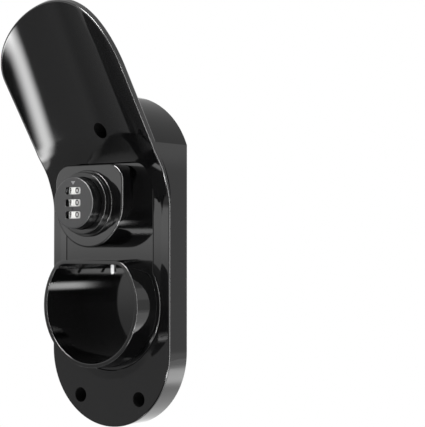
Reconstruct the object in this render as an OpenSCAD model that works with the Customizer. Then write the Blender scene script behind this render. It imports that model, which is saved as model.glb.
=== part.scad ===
// Wall holder for a vehicle charging connector: moulded body with a cable hook, a connector dock
// and a combination cam lock whose tongue drops into the dock.
// X runs across, the wall is the plane Y = 0, the front faces -Y, Z is up.
// Z = 0 is the level of the two lower wall screws.

/* [Body] */
// width of the body and of the hook
body_w = 92; // [84:1:110]
// depth of the body from the wall to its flat front face
body_d = 17; // [15:0.5:24]
// thickness of the side walls
wall = 2.6; // [2:0.1:4]
// thickness of the flat front wall
face_t = 2.4; // [2:0.1:3]
// height of the lower end's arc centre above the lower screws
foot_z = 28; // [24:1:34]
// height of the crown's arc centre
crown_z = 134.4; // [128:0.1:142]
// extra radius of the crown's arc over half the width
crown_extra = 3.1; // [1:0.1:6]
// rise of the sloping frame around the front panel
frame_rise = 0.5; // [0.3:0.1:2]
// width of the sloping frame around the front panel
frame_w = 5; // [3:0.1:6]

/* [Wall screws] */
// distance between the two lower screws
screw_gap = 45.8; // [38:0.2:52]
// height of the upper screw
screw_top_z = 160.8; // [157:0.2:165]
// diameter of the sunk hole for a screw head
head_hole_d = 9; // [7:0.1:10]
// diameter of the hole for the screw shank
shank_hole_d = 5.2; // [4:0.1:6]
// thickness of the floor that a screw head bears on
screw_floor = 3; // [2:0.5:5]

/* [Hook] */
// height at which the hook's middle starts to lean
lean_z = 133.4; // [130:0.1:138]
// radius of the bend at the hook's root
lean_r = 47; // [36:1:56]
// lean of the hook's middle from upright, degrees
lean_a = 31.4; // [24:0.1:34]
// length of the middle line from the bend's start to the tip
hook_len = 113.2; // [104:0.2:120]
// thickness of the hook
hook_t = 4.6; // [4:0.1:7]
// length of the rounded tip
tip_len = 41; // [34:0.1:48]
// depth of the trough at the start of its straight part
trough_d = 12.9; // [8:0.1:14]
// how much the trough deepens for each millimetre of length
trough_grow = 0.046; // [0:0.001:0.1]
// how far below the bend the trough begins
trough_lead = 20.2; // [14:0.1:26]
// length over which the trough rises to its depth
trough_run = 41.7; // [30:0.1:50]

/* [Front panel] */
// distance from the panel's side to the body's side
panel_margin = 11.9; // [10:0.1:14]
// height of the panel's top edge
panel_top = 141.3; // [140.5:0.1:146]
// radius of the panel's top corners
panel_r = 14; // [10:0.5:18]
// gap between the panel and the body around it
panel_gap = 0.2; // [0.1:0.05:0.5]

/* [Dock] */
// height of the dock's axis
dock_z = 55.6; // [52:0.1:58]
// radius of the dock at its rim
dock_r = 36.7; // [34:0.1:37.5]
// extra radius at the foot of the dock
dock_draft = 1.2; // [0:0.1:1.4]
// height of the flat roof above the axis
dock_roof = 27.2; // [25:0.1:29]
// radius of the roof's corners
dock_corner = 12; // [8:0.5:14]
// thickness of the dock's wall
dock_wall = 2.5; // [2:0.1:3]
// how far the dock stands out of the front face
dock_out = 18.6; // [15:0.2:30]
// width of the panel's lip around the dock
dock_lip = 1.4; // [1:0.1:3]
// thickness of the dock's floor
dock_floor = 1.6; // [1.2:0.1:2.5]
// gap between the dock's floor and the wall
floor_gap = 0.4; // [0.2:0.1:1]

/* [Lock housing] */
// height of the lock's axis
lock_z = 116.6; // [114:0.1:118]
// radius of the housing's lower end, and half its width
house_r = 26.2; // [25:0.1:28]
// height of its flat top above the axis
house_top = 23.2; // [21:0.1:24]
// radius of its top corners
house_corner = 10.6; // [6:0.1:14]
// how far it stands out of the front face
house_out = 19.5; // [18:0.1:26]
// thickness of its walls
house_wall = 2.4; // [2:0.1:3]

/* [Lock] */
// overhang of the bezel's flange over the barrel
flange_lip = 4.8; // [4:0.1:6]
// width of the step from the flange to the bezel's ring
ring_step = 1.3; // [0.8:0.1:1.8]
// height of the ring above the housing
ring_h = 6; // [5:0.5:7]
// diameter of the knob
knob_d = 30.4; // [30:0.1:32]
// height of the knob's face above the housing
knob_h = 13.8; // [13.4:0.1:15]
// diameter of the barrel's outside
barrel_d = 30; // [29:0.2:31]
// diameter of the core that turns in the barrel
core_d = 26; // [25.6:0.1:26.4]
// running clearance of the core in the barrel, on the radius
core_gap = 0.06; // [0.03:0.01:0.09]
// gap between the knob and the bezel's ring, on the radius
knob_gap = 0.15; // [0.1:0.05:0.3]
// distance between the dials
dial_pitch = 7.1; // [6.9:0.05:7.2]
// diameter of a dial
dial_d = 17; // [16:0.2:17.2]
// thickness of a dial
dial_t = 5; // [4.6:0.1:5.2]
// diameter of the dials' axle
axle_d = 3; // [2.5:0.1:3.4]
// running clearance of a dial on its axle, on the radius
dial_gap = 0.05; // [0.03:0.01:0.09]
// width of a window in the knob
window_w = 11.6; // [9:0.2:12.4]
// height of a window in the knob
window_h = 4.2; // [3.6:0.1:4.8]

/* [Tongue] */
// reach of the tongue from the lock's axis
cam_reach = 42.4; // [41:0.1:42.6]
// thickness of the tongue
cam_t = 1.8; // [1.4:0.1:2]
// gap between the tongue and the front wall before it
cam_gap = 0.4; // [0.3:0.05:0.8]
// width of the tongue's finger
finger_w = 2.6; // [2:0.1:4]
// width of the lever above the finger
lever_w = 10; // [9:0.5:12]
// side of the square drive
drive_w = 8; // [7:0.1:8.4]
// length of the drive behind the tongue's front
drive_len = 1.6; // [1.2:0.1:1.7]

/* [Hidden] */
$fn = 96;
half_w = body_w / 2;
crown_r = half_w + crown_extra;
kink_z = crown_z + sqrt(crown_r * crown_r - half_w * half_w);
// station at which the bend ends, measured along the middle line
bend_end = lean_z + lean_r * lean_a * PI / 180;
tip_s = lean_z + hook_len;
round_s = tip_s - tip_len;
trough_s0 = lean_z - trough_lead;
trough_s1 = trough_s0 + trough_run;
// reach of the cuts that run clear of the part
far = 0.6 * hook_len;
// the lock's layers, as distances in front of the flat front face
flange_t = 2;
knob_lift = 0.3;
knob_face = 0.7;
dial_clear = 0.15;
spring_room = 0.9;
core_floor = 2.5;
core_over = 2;
barrel_floor = 4;
washer_t = 0.8;
plate_f = house_out - house_wall;
flange_d = barrel_d + 2 * flange_lip;
ring_d = flange_d - 2 * ring_step;
flange_f = house_out + flange_t;
ring_f = house_out + ring_h;
knob_f = house_out + knob_h;
knob_back_f = flange_f + knob_lift;
knob_in_f = knob_f - knob_face;
dial_f = knob_in_f - dial_clear - dial_d / 2;
pocket_f = dial_f - dial_d / 2 - spring_room;
core_back_f = pocket_f - core_floor;
core_front_f = dial_f + core_over;
barrel_back_f = core_back_f - barrel_floor;
cam_f = -face_t - cam_gap;
cam_back_f = cam_f - cam_t;
drive_back_f = cam_f - drive_len;
pocket_side = 0.6;
pocket_w = dial_d + 2 * pocket_side;
pocket_h = 2 * dial_pitch + dial_t + 0.8;
axle_in = 1.6;
axle_half = core_d / 2 - axle_in;
nut_f = plate_f - washer_t;
nut_h = 4.5;
nut_wide = 9;
washer_wide = 8;
dock_in = body_d - floor_gap - dock_floor;
dock_foot_r = dock_r + dock_draft;
dock_taper = dock_foot_r / dock_r;
panel_half = half_w - panel_margin;
panel_circle = dock_foot_r + dock_lip;
frame_half = panel_half + frame_w;
frame_sink = 5.2;
ear_f = -6.6;
ear_t = 2.5;
ear_r = 4;
ear_edge = 4.8;
ear_rise = 15;
ear_reach = 4.6;
ear_turn = 46;
boss_d = 7;
ear_x = half_w - wall - ear_edge;
ear_top_z = lock_z + ear_rise;
ear_low_x = (panel_circle + ear_reach) * cos(ear_turn);
ear_low_z = dock_z - (panel_circle + ear_reach) * sin(ear_turn);
ear_screw_d = 2.6;
ear_head_d = 5.2;
cam_head_d = 8;
slot_x = sqrt(pow(cam_reach + 0.6, 2) - pow(lock_z - dock_z - dock_roof + 0.5, 2)) + 2.5;

// smooth step from 0 at a to 1 at b
function ease(a, b, s) = let (t = min(1, max(0, (s - a) / (b - a)))) t * t * (3 - 2 * t);
// lean angle of the middle line at station s
function lean(s) = min(lean_a, max(0, (s - lean_z) / lean_r * 180 / PI));
// how far the middle line stands in front of the flat face at station s
function mid_f(s) = lean_r * (1 - cos(lean(s))) + max(0, s - bend_end) * sin(lean_a);
// height of the middle line at station s
function mid_z(s) = s <= lean_z ? s : lean_z + lean_r * sin(lean(s)) + max(0, s - bend_end) * cos(lean_a);
// depth of the trough at station s, at the full half width
function trough(s) = ease(trough_s0, trough_s1, s) * (trough_d + trough_grow * (s - bend_end));
// thickness of the front at station s
function thick(s) = face_t + (hook_t - face_t) * ease(trough_s0 - 2, trough_s1 + 6, s);
// half width of the hook at station s
function half_at(s) = s <= round_s ? half_w : half_w * sqrt(max(0, 1 - pow((s - round_s) / tip_len, 2)));
// a point at station s and offset x across, lying o behind the front surface
function at(s, x, o) = let (v = trough(s) * pow(x / half_w, 2) - o)
    [x, -body_d - mid_f(s) - v * cos(lean(s)), mid_z(s) - v * sin(lean(s))];

// stations along the hook and positions across it
hook_s = concat([for (i = [0:15]) trough_s0 + i * (round_s - trough_s0) / 15],
                [for (i = [1:9]) round_s + tip_len * sin(i * 9.6)]);
back_s = concat([foot_z - 2 * half_w, trough_s0 - 4], [for (i = [0:15]) trough_s0 + i * 6.4]);
across = [for (i = [-8:8]) i / 8];

// a solid between two grids of the same size
module between(front, back) {
    nr = len(front);
    nc = len(front[0]);
    k = nr * nc;
    pts = concat([for (r = front) each r], [for (r = back) each r]);
    quads = concat(
        [for (i = [0:nr - 2]) for (j = [0:nc - 2]) let (a = i * nc + j) each
            [[a, a + nc, a + nc + 1], [a, a + nc + 1, a + 1]]],
        [for (i = [0:nr - 2]) for (j = [0:nc - 2]) let (a = k + i * nc + j) each
            [[a, a + nc + 1, a + nc], [a, a + 1, a + nc + 1]]],
        [for (i = [0:nr - 2]) let (a = i * nc) each
            [[a, a + k, a + k + nc], [a, a + k + nc, a + nc]]],
        [for (i = [0:nr - 2]) let (a = i * nc + nc - 1) each
            [[a, a + k + nc, a + k], [a, a + nc, a + k + nc]]],
        [for (j = [0:nc - 2]) let (a = j) each
            [[a, a + k + 1, a + k], [a, a + 1, a + k + 1]]],
        [for (j = [0:nc - 2]) let (a = (nr - 1) * nc + j) each
            [[a, a + k, a + k + 1], [a, a + k + 1, a + 1]]]);
    polyhedron(pts, quads);
}

// everything that lies further back than o(s) behind the front surface
module behind(kind) {
    front = [for (s = back_s) [for (u = across) at(s, u * half_w * 1.06, setback(kind, s))]];
    back = [for (r = front) [for (p = r) [p[0], 6, p[2]]]];
    between(front, back);
}

// setbacks: 0 the body's core up to inside the hook, 1 the hollow, 2 the front surface
function setback(kind, s) = kind == 0 ? hook_t / 2 * ease(trough_s0 - 4, trough_s0 + 20, s)
    : kind == 1 ? thick(s) - 0.3 * ease(trough_s0 - 4, trough_s0 + 10, s) : 0;

// flat shape drawn in X and Z, extruded from f0 to f1 in front of the flat face
module slab(f0, f1) {
    translate([0, -body_d - f0, 0])
        rotate([90, 0, 0])
            linear_extrude(f1 - f0)
                children();
}

// round bar along Y from f0 to f1
module bar(x, z, f0, f1, d) {
    translate([x, -body_d - f0, z])
        rotate([90, 0, 0])
            cylinder(d = d, h = f1 - f0);
}

// outline of the body, inset by i
module outline(i) {
    translate([0, foot_z])
        circle(r = half_w - i);
    translate([i - half_w, foot_z])
        square([body_w - 2 * i, kink_z - foot_z - i]);
    intersection() {
        translate([0, crown_z])
            circle(r = crown_r - i);
        translate([i - half_w, crown_z])
            square([body_w - 2 * i, crown_r]);
    }
}

// round shape with a flat top, its corners rounded; the corner arcs stand a hair proud of the
// large arc, so that the two cross cleanly
module d_shape(r, h, c) {
    reach = r - c + 0.05;
    cx = sqrt(pow(reach, 2) - pow(h - c, 2));
    k = r / reach;
    difference() {
        circle(r = r);
        translate([-r - 1, (h - c) * k])
            square([2 * r + 2, r]);
    }
    polygon([[-cx * k, (h - c) * k], [cx * k, (h - c) * k], [cx, h], [-cx, h]]);
    for (m = [-1, 1])
        translate([m * cx, h - c])
            circle(r = c);
}

// half round below, straight sides above, and a flat top with round corners
module arch_shape(r, h, c) {
    difference() {
        circle(r = r);
        translate([-r - 1, h - c])
            square([2 * r + 2, r]);
    }
    translate([-r, 0])
        square([2 * r, h - c]);
    translate([c - r, 0])
        square([2 * r - 2 * c, h]);
    for (m = [-1, 1])
        translate([m * (r - c), h - c])
            circle(r = c);
}

// outline of the front panel, grown by g
module panel_shape(g) {
    translate([0, dock_z])
        circle(r = panel_circle + g);
    translate([-panel_half - g, dock_z])
        square([2 * panel_half + 2 * g, panel_top - panel_r - dock_z]);
    translate([panel_r - panel_half, dock_z])
        square([2 * panel_half - 2 * panel_r, panel_top + g - dock_z]);
    for (m = [-1, 1])
        translate([m * (panel_half - panel_r), panel_top - panel_r])
            circle(r = panel_r + g);
}

module screw_posts() {
    for (m = [-1, 1])
        bar(m * screw_gap / 2, 0, -body_d, -0.6, head_hole_d + 4.4);
    bar(0, screw_top_z, -body_d, mid_f(screw_top_z) - 1, head_hole_d + 4.4);
}

module screw_cuts() {
    for (p = [[-screw_gap / 2, 0], [screw_gap / 2, 0], [0, screw_top_z]]) {
        bar(p[0], p[1], screw_floor - body_d, far, head_hole_d);
        bar(p[0], p[1], -body_d - 1, 0, shank_hole_d);
    }
}

// bosses on the back of the front wall for the screws that hold the panel
module ear_bosses() {
    for (m = [-1, 1]) {
        bar(m * ear_x, ear_top_z, ear_f + 0.02, -0.5, boss_d);
        bar(m * ear_low_x, ear_low_z, ear_f + 0.02, -0.5, boss_d);
    }
}

module wall_body() {
    color([0.03, 0.03, 0.03])
    difference() {
        union() {
            difference() {
                intersection() {
                    slab(-body_d, far)
                        outline(0);
                    behind(0);
                }
                intersection() {
                    slab(-body_d - 1, far)
                        outline(wall);
                    behind(1);
                }
            }
            hook();
            frame();
            collar();
            screw_posts();
            ribs();
            ear_bosses();
        }
        slab(-body_d, far)
            panel_shape(panel_gap);
        screw_cuts();
        for (m = [-1, 1]) {
            bar(m * ear_x, ear_top_z, ear_f - 1, -1.4, ear_screw_d);
            bar(m * ear_low_x, ear_low_z, ear_f - 1, -1.4, ear_screw_d);
        }
    }
}

module hook() {
    front = [for (s = hook_s) [for (u = across) at(s, u * half_at(s), 0)]];
    back = [for (s = hook_s) [for (u = across) at(s, u * half_at(s), thick(s))]];
    between(front, back);
}

// raised frame that slopes from the panel's edge down to the front face
module frame() {
    slope = (frame_w - panel_gap) / frame_rise;
    foot = frame_half + slope;
    head = panel_half + panel_gap;
    intersection() {
        slab(-body_d, far)
            outline(0);
        union() {
            translate([0, 1 - body_d, dock_z - frame_sink])
                rotate([90, 0, 0])
                    cylinder(r1 = foot, r2 = head, h = frame_rise + 1);
            translate([0, -body_d, dock_z - frame_sink])
                linear_extrude(panel_top - panel_gap - panel_r / 3 - dock_z + frame_sink)
                    polygon([[-foot, 1], [foot, 1], [head, -frame_rise], [-head, -frame_rise]]);
        }
    }
}

// wall around the panel's opening where the hook's root rises past it
module collar() {
    intersection() {
        slab(-face_t, 30)
            intersection() {
                panel_shape(2.2);
                translate([-half_w, trough_s0])
                    square([body_w, 60]);
            }
        behind(0);
    }
}

// ribs in the hollow: three at the upper screw's post and one at each lower post
module ribs() {
    intersection() {
        slab(1 - body_d, 60) {
            intersection() {
                outline(wall / 2);
                union() {
                    translate([-1, screw_top_z])
                        square([2, crown_r]);
                    for (m = [-1, 1])
                        translate([m * half_w / 2 - half_w / 2 + m * 5, screw_top_z - 1])
                            square([half_w, 2]);
                }
            }
        }
        behind(0);
    }
    slab(1 - body_d, -0.6)
        intersection() {
            outline(wall / 2);
            for (m = [-1, 1])
                translate([m * screw_gap / 2 - 1, foot_z - half_w])
                    square([2, half_w - foot_z - 5]);
        }
}

module dock_insert() {
    color([0.035, 0.035, 0.035])
    difference() {
        union() {
            slab(-face_t, frame_rise)
                panel_shape(0);
            slab(-1, house_out)
                translate([0, lock_z])
                    arch_shape(house_r, house_top, house_corner);
            translate([0, -body_d + 1, dock_z])
                rotate([90, 0, 0])
                    linear_extrude(dock_out + 1, scale = 1 / dock_taper)
                        d_shape(dock_r * dock_taper, dock_roof * dock_taper, dock_corner * dock_taper);
            slab(-dock_in - dock_floor, -1)
                translate([0, dock_z])
                    d_shape(dock_r, dock_roof, dock_corner);
            ears();
        }
        slab(-face_t - 1, plate_f)
            translate([0, lock_z])
                arch_shape(house_r - house_wall, house_top - house_wall, house_corner - house_wall);
        bar(0, lock_z, 0, house_out + 1, barrel_d + 0.3);
        slab(-dock_in, dock_out + 1)
            translate([0, dock_z])
                d_shape(dock_r - dock_wall, dock_roof - dock_wall, dock_corner - dock_wall);
        slab(cam_back_f - 0.6, -face_t)
            translate([-slot_x, dock_z + 6])
                square([slot_x + finger_w / 2 + 1, dock_roof]);
        for (m = [-1, 1]) {
            bar(m * ear_x, ear_top_z, ear_f - ear_t - 1, ear_f + 1, ear_screw_d + 0.6);
            bar(m * ear_low_x, ear_low_z, ear_f - ear_t - 1, ear_f + 1, ear_screw_d + 0.6);
        }
    }
}

// tabs behind the body's front wall, held by screws from the back
module ears() {
    for (m = [-1, 1]) {
        slab(ear_f - ear_t, -1)
            intersection() {
                panel_shape(0);
                translate([m * (panel_half - ear_r) - ear_r, ear_top_z - ear_r])
                    square([2 * ear_r, 2 * ear_r]);
            }
        slab(ear_f - ear_t, ear_f)
            translate([m * (panel_half + ear_x) / 2 - (ear_x - panel_half) / 2 - ear_r, ear_top_z - ear_r])
                square([ear_x - panel_half + 2 * ear_r, 2 * ear_r]);
        slab(ear_f - ear_t, ear_f)
            translate([m * ear_low_x, ear_low_z])
                circle(r = ear_r);
        slab(ear_f - ear_t, ear_f)
            translate([m * ear_low_x, ear_low_z])
                rotate(m * (90 - ear_turn))
                    translate([-ear_r, 0])
                        square([2 * ear_r, 2.5 * ear_r]);
    }
}

// pan head screw from behind, seated on an ear
module insert_screw(x, z) {
    color([0.7, 0.71, 0.73])
    difference() {
        union() {
            bar(x, z, ear_f - ear_t - 1.6, ear_f - ear_t, ear_head_d);
            bar(x, z, ear_f - ear_t - 0.1, -1.8, ear_screw_d);
        }
        slab(ear_f - ear_t - 2, ear_f - ear_t - 0.8)
            translate([x, z])
                for (a = [0, 90])
                    rotate(a)
                        square([ear_head_d * 0.58, ear_head_d * 0.14], center = true);
    }
}

module insert_screw_1() { insert_screw(-ear_x, ear_top_z); }
module insert_screw_2() { insert_screw(ear_x, ear_top_z); }
module insert_screw_3() { insert_screw(-ear_low_x, ear_low_z); }
module insert_screw_4() { insert_screw(ear_low_x, ear_low_z); }

module lock_barrel() {
    color([0.05, 0.05, 0.05])
    difference() {
        union() {
            bar(0, lock_z, house_out, flange_f, flange_d);
            bar(0, lock_z, flange_f - 0.1, ring_f, ring_d);
            bar(0, lock_z, barrel_back_f, house_out + 0.1, barrel_d);
        }
        bar(0, lock_z, flange_f, ring_f + 1, knob_d + 2 * knob_gap);
        bar(0, lock_z, core_back_f, ring_f + 1, core_d + 2 * core_gap);
        bar(0, lock_z, barrel_back_f - 1, core_back_f + 1, drive_w * 1.5 + 2 * core_gap);
    }
}

module nut_washer() {
    color([0.75, 0.76, 0.78])
    difference() {
        bar(0, lock_z, nut_f, plate_f, barrel_d + washer_wide);
        bar(0, lock_z, nut_f - 1, plate_f + 1, barrel_d + 0.2);
    }
}

module lock_nut() {
    color([0.7, 0.71, 0.74])
    difference() {
        translate([0, -body_d - nut_f + nut_h, lock_z])
            rotate([90, 0, 0])
                cylinder(d = barrel_d + nut_wide, h = nut_h, $fn = 6);
        bar(0, lock_z, nut_f - nut_h - 1, nut_f + 1, barrel_d);
    }
}

module window(z) {
    slab(knob_f - 4, knob_f + 1) {
        for (m = [-1, 1])
            translate([m * (window_w - window_h * 0.5) / 2, z])
                for (n = [-1, 1])
                    translate([0, n * window_h * 0.25])
                        circle(d = window_h * 0.5);
        translate([-window_w / 2, z - window_h * 0.25])
            square([window_w, window_h * 0.5]);
        translate([-window_w / 2 + window_h * 0.25, z - window_h / 2])
            square([window_w - window_h * 0.5, window_h]);
    }
}

module lock_knob() {
    color([0.08, 0.08, 0.085])
    difference() {
        union() {
            bar(0, lock_z, knob_back_f, knob_in_f, knob_d);
            translate([0, -body_d - knob_in_f, lock_z])
                rotate([90, 0, 0])
                    cylinder(d1 = knob_d, d2 = knob_d - 1.6 * knob_face, h = knob_face);
        }
        bar(0, lock_z, knob_back_f - 1, knob_in_f, core_d);
        for (i = [-1:1])
            window(lock_z + i * dial_pitch);
    }
}

module lock_core() {
    color([0.62, 0.63, 0.65])
    difference() {
        union() {
            bar(0, lock_z, core_back_f, core_front_f, core_d);
            bar(0, lock_z, cam_f, core_back_f + 0.1, drive_w * 1.5);
            slab(drive_back_f, cam_f + 0.1)
                translate([0, lock_z])
                    square(drive_w, center = true);
        }
        slab(pocket_f, core_front_f + 1)
            translate([0, lock_z])
                square([pocket_w, pocket_h], center = true);
        translate([0, -body_d - dial_f, lock_z - axle_half])
            cylinder(d = axle_d, h = 2 * axle_half);
        slab(dial_f, core_front_f + 1)
            translate([0, lock_z])
                square([axle_d, 2 * axle_half], center = true);
        bar(0, lock_z, drive_back_f - 1, cam_f + 8, 4);
    }
}

// number wheel that turns on the upright axle, with ten shallow flutes between its figures
module dial(z) {
    color([0.92, 0.92, 0.9])
    translate([0, -body_d - dial_f, z - dial_t / 2])
        difference() {
            cylinder(d = dial_d, h = dial_t);
            translate([0, 0, -1])
                cylinder(d = axle_d + 2 * dial_gap, h = dial_t + 2);
            for (i = [0:9])
                rotate(i * 36)
                    translate([0, dial_d / 2 + 0.15, -1])
                        cylinder(d = 0.8, h = dial_t + 2, $fn = 24);
        }
}

module dial_upper() { dial(lock_z + dial_pitch); }
module dial_middle() { dial(lock_z); }
module dial_lower() { dial(lock_z - dial_pitch); }

module dial_axle() {
    color([0.75, 0.76, 0.78])
        translate([0, -body_d - dial_f, lock_z - axle_half])
            cylinder(d = axle_d, h = 2 * axle_half);
}

// leaf on the pocket's floor with a low bead behind each dial
module detent_spring() {
    color([0.8, 0.8, 0.82]) {
        slab(pocket_f, pocket_f + 0.4)
            translate([0, lock_z])
                square([7, pocket_h - 0.6], center = true);
        for (i = [-1:1])
            slab(pocket_f + 0.3, pocket_f + 0.75)
                translate([0, lock_z + i * dial_pitch])
                    square([0.5, 3], center = true);
    }
}

module lock_cam() {
    color([0.8, 0.81, 0.83])
    difference() {
        slab(cam_back_f, cam_f) {
            translate([0, lock_z])
                circle(d = drive_w * 1.5 + 5);
            translate([-lever_w / 2, lock_z - cam_reach + 11])
                square([lever_w, cam_reach - 11]);
            translate([-finger_w / 2, lock_z - cam_reach + finger_w / 2])
                square([finger_w, 14]);
            translate([0, lock_z - cam_reach + finger_w / 2])
                circle(d = finger_w);
        }
        slab(cam_back_f - 1, cam_f + 1)
            translate([0, lock_z])
                square(drive_w + 0.1, center = true);
    }
}

module cam_washer() {
    color([0.75, 0.76, 0.78])
    difference() {
        bar(0, lock_z, cam_back_f - 1, cam_back_f, 14);
        bar(0, lock_z, cam_back_f - 2, cam_back_f + 1, 4.4);
    }
}

module cam_screw() {
    color([0.72, 0.73, 0.75])
    difference() {
        union() {
            bar(0, lock_z, cam_back_f - 3.6, cam_back_f - 1, cam_head_d);
            bar(0, lock_z, cam_back_f - 1.1, cam_f + 6, 4);
        }
        slab(cam_back_f - 4.6, cam_back_f - 2.4)
            translate([0, lock_z])
                for (a = [0, 90])
                    rotate(a)
                        square([cam_head_d * 0.55, cam_head_d / 8], center = true);
    }
}

wall_body();
dock_insert();
insert_screw_1();
insert_screw_2();
insert_screw_3();
insert_screw_4();
lock_barrel();
nut_washer();
lock_nut();
lock_knob();
lock_core();
dial_upper();
dial_middle();
dial_lower();
dial_axle();
detent_spring();
lock_cam();
cam_washer();
cam_screw();
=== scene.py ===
"""Looks of the wall holder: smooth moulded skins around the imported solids, materials, light, camera."""
import math

import bmesh
import bpy
import numpy as np
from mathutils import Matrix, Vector


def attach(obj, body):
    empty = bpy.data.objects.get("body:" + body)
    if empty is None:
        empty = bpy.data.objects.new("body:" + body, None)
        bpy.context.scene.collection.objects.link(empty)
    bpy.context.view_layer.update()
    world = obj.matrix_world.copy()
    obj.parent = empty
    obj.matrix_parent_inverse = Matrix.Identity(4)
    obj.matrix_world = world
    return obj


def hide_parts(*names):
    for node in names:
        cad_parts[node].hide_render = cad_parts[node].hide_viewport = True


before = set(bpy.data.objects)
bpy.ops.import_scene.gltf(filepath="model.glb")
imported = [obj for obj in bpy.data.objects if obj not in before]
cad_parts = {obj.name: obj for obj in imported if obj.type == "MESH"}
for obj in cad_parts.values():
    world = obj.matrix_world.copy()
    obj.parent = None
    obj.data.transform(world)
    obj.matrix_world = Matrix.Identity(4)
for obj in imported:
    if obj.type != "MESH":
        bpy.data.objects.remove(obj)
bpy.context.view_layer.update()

# a millimetre in metres
MM = 0.001

# sizes in millimetres, as in the part's source, and its angles turned into radians
BODY_W, BODY_D, WALL, FACE_T = 92.0, 17.0, 2.6, 2.4
FOOT_Z, CROWN_Z, CROWN_EXTRA = 28.0, 134.4, 3.1
FRAME_RISE, FRAME_W, FRAME_SINK = 0.5, 5.0, 5.2
SCREW_GAP, SCREW_TOP_Z, HEAD_HOLE_D, SHANK_HOLE_D, SCREW_FLOOR = 45.8, 160.8, 9.0, 5.2, 3.0
LEAN_Z, LEAN_R, LEAN_A, HOOK_LEN, HOOK_T = 133.4, 47.0, math.radians(31.4), 113.2, 4.6
TIP_LEN, TROUGH_D, TROUGH_GROW, TROUGH_LEAD, TROUGH_RUN = 41.0, 12.9, 0.046, 20.2, 41.7
PANEL_MARGIN, PANEL_TOP, PANEL_R = 11.9, 141.3, 14.0
DOCK_Z, DOCK_R, DOCK_DRAFT, DOCK_ROOF, DOCK_CORNER = 55.6, 36.7, 1.2, 27.2, 12.0
DOCK_WALL, DOCK_OUT, DOCK_LIP, DOCK_FLOOR, FLOOR_GAP = 2.5, 18.6, 1.4, 1.6, 0.4
LOCK_Z, HOUSE_R, HOUSE_TOP, HOUSE_CORNER, HOUSE_OUT, HOUSE_WALL = 116.6, 26.2, 23.2, 10.6, 19.5, 2.4
FLANGE_D, RING_D, RING_H, KNOB_D, KNOB_H, KNOB_FACE = 39.6, 37.0, 6.0, 30.4, 13.8, 0.7
FLANGE_T, BARREL_D, CORE_D, KNOB_GAP = 2, 30.0, 26.0, 0.15
DIAL_PITCH, DIAL_D, DIAL_CLEAR = 7.1, 17.0, 0.15
WINDOW_W, WINDOW_H = 11.6, 4.2
CAM_REACH, CAM_T, CAM_GAP, FINGER_W = 42.4, 1.8, 0.4, 2.6
EAR_F, EAR_T, EAR_R, EAR_EDGE = -6.6, 2.5, 4.0, 4.8
EAR_RISE, EAR_REACH, EAR_TURN = 15.0, 4.6, math.radians(46)
BOSS_D, EAR_SCREW_D = 7.0, 2.6

HALF_W = BODY_W / 2
CROWN_R = HALF_W + CROWN_EXTRA
BEND_END = LEAN_Z + LEAN_R * LEAN_A
TIP_S = LEAN_Z + HOOK_LEN
ROUND_S = TIP_S - TIP_LEN
TROUGH_S0 = LEAN_Z - TROUGH_LEAD
TROUGH_S1 = TROUGH_S0 + TROUGH_RUN
KNOB_F = HOUSE_OUT + KNOB_H
FLANGE_F = HOUSE_OUT + FLANGE_T
DOCK_TAPER = (DOCK_R + DOCK_DRAFT) / DOCK_R
DOCK_IN = BODY_D - FLOOR_GAP - DOCK_FLOOR
PANEL_HALF = HALF_W - PANEL_MARGIN
PANEL_CIRCLE = DOCK_R + DOCK_DRAFT + DOCK_LIP
FRAME_HALF = PANEL_HALF + FRAME_W
EAR_X, EAR_TOP_Z = HALF_W - WALL - EAR_EDGE, LOCK_Z + EAR_RISE
EAR_LOW_X = (PANEL_CIRCLE + EAR_REACH) * math.cos(EAR_TURN)
EAR_LOW_Z = DOCK_Z - (PANEL_CIRCLE + EAR_REACH) * math.sin(EAR_TURN)
EARS = [(m * x, z) for m in (-1, 1) for x, z in ((EAR_X, EAR_TOP_Z), (EAR_LOW_X, EAR_LOW_Z))]
DIAL_F = KNOB_F - KNOB_FACE - DIAL_CLEAR - DIAL_D / 2

# edge radii of the mouldings and of the lock
EDGE_R, HOOK_BACK_R, PANEL_EDGE_R, RIM_R, HOUSE_EDGE_R = 1.0, 1.2, 0.35, 0.5, 1.0
BEZEL_EDGE_R, RING_IN_R, KNOB_EDGE_R, WINDOW_EDGE_R = 0.5, 0.4, 0.8, 0.25
# faces of the knob that lean less than this towards the front are its bare side
KNOB_SIDE_TILT = 0.3
# engraved index on the knob and figures on the dials
MARK_W, MARK_H, MARK_GAP, MARK_DEPTH, TICK_W, TICK_H, FLOOR_TOL = 4.0, 2.4, 1.2, 0.4, 0.6, 1.6, 0.01
FIGURES, FIGURE_SIZE, FIGURE_BOLD, FIGURE_LIFT, FIGURE_TURN = 10, 4.4, 0.17, 0.015, 16
# edges of the body that turn by more than this stay crisp, as where its crown begins
KINK_ANGLE = 18
# walls that lean less than this towards the front are the sides of holes and gaps, which get painted shade
WALL_TILT = 0.2
# gap around the panel, a little wider than the solids' so that it reads as a dark line
GAP_SEEN = 0.45
# ledge behind that gap, a root beside the gap and a lip behind the panel: the lip's lap at the top and
# elsewhere, the root's width, the step by which the lip lies inside the root, then their faces
LEDGE_LAP, LOW_LAP, LEDGE_W, LEDGE_STEP = 2.0, 0.9, 3.0, 0.1
LEDGE_BACK, ROOT_F, LIP_F = -FACE_T - 1.5, -1, -FACE_T - 0.3
# the ledge stops where the tongue swings past it, this far below and above the lock's axis
TONGUE_SWEEP, TONGUE_SIDE = 34.0, 8.0
# the body's sides lie this far inside the front skin's edge, too little to see
SKIN_LAP = 0.02
# the sloping frame runs on this far below the flat front
FRAME_ROOT = 0.3
# the plate starts to thicken this far before the trough and ends this far after the trough is full
THICK_LEAD, THICK_TAIL = 2, 6
# the core's front lies this far behind the flat front, and half the hook's thickness more behind the hook;
# it changes from this far before the trough's start to this far after it
CORE_SET, CORE_LEAD, CORE_RUN = 1.1, 4, 20
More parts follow.
